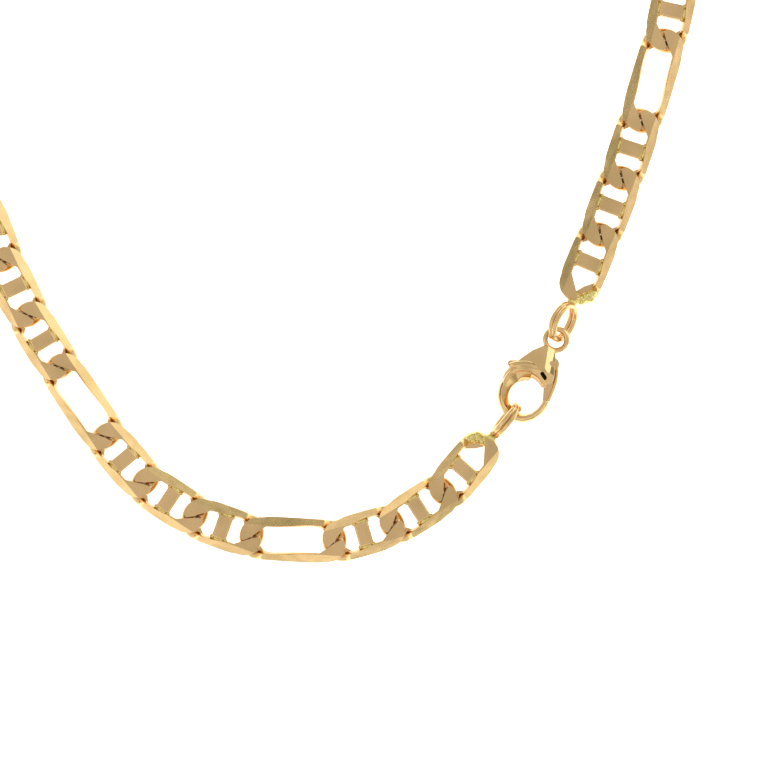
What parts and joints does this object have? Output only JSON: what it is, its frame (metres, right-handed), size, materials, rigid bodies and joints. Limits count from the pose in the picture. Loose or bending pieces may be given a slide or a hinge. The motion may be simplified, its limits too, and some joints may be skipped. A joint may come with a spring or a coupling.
{
  "type": "figaro chain necklace",
  "caption": "Gold figaro chain of flat barred short links and longer open links, closed by a lobster clasp between double rings, lying flat",
  "frame": {"origin": "centre of the necklace's outline, on the surface it lies on", "axes": "+X to the right and +Y up as the necklace is seen from above, +Z up from the surface"},
  "size_m": [0.115, 0.182, 0.0054],
  "materials": {
    "satin_gold": "satin",
    "polished_gold": "polished"
  },
  "bodies": {
    "necklace": {"short_links": "satin_gold", "long_links": "satin_gold", "end_link_left": "satin_gold", "end_link_right": "satin_gold", "clasp_body": "polished_gold", "clasp_pin": "polished_gold"},
    "lever": {"clasp_lever": "polished_gold"}
  },
  "joints": [
    {"name": "lever_hinge", "type": "hinge", "parent": "necklace", "child": "lever", "pos_m": [0.03558, -0.06537, 0.00225], "axis": [0, 0, -1], "range_deg": [0, 28], "stiffness_Nm_per_rad": 0.001, "springref_deg": -9.74}
  ]
}
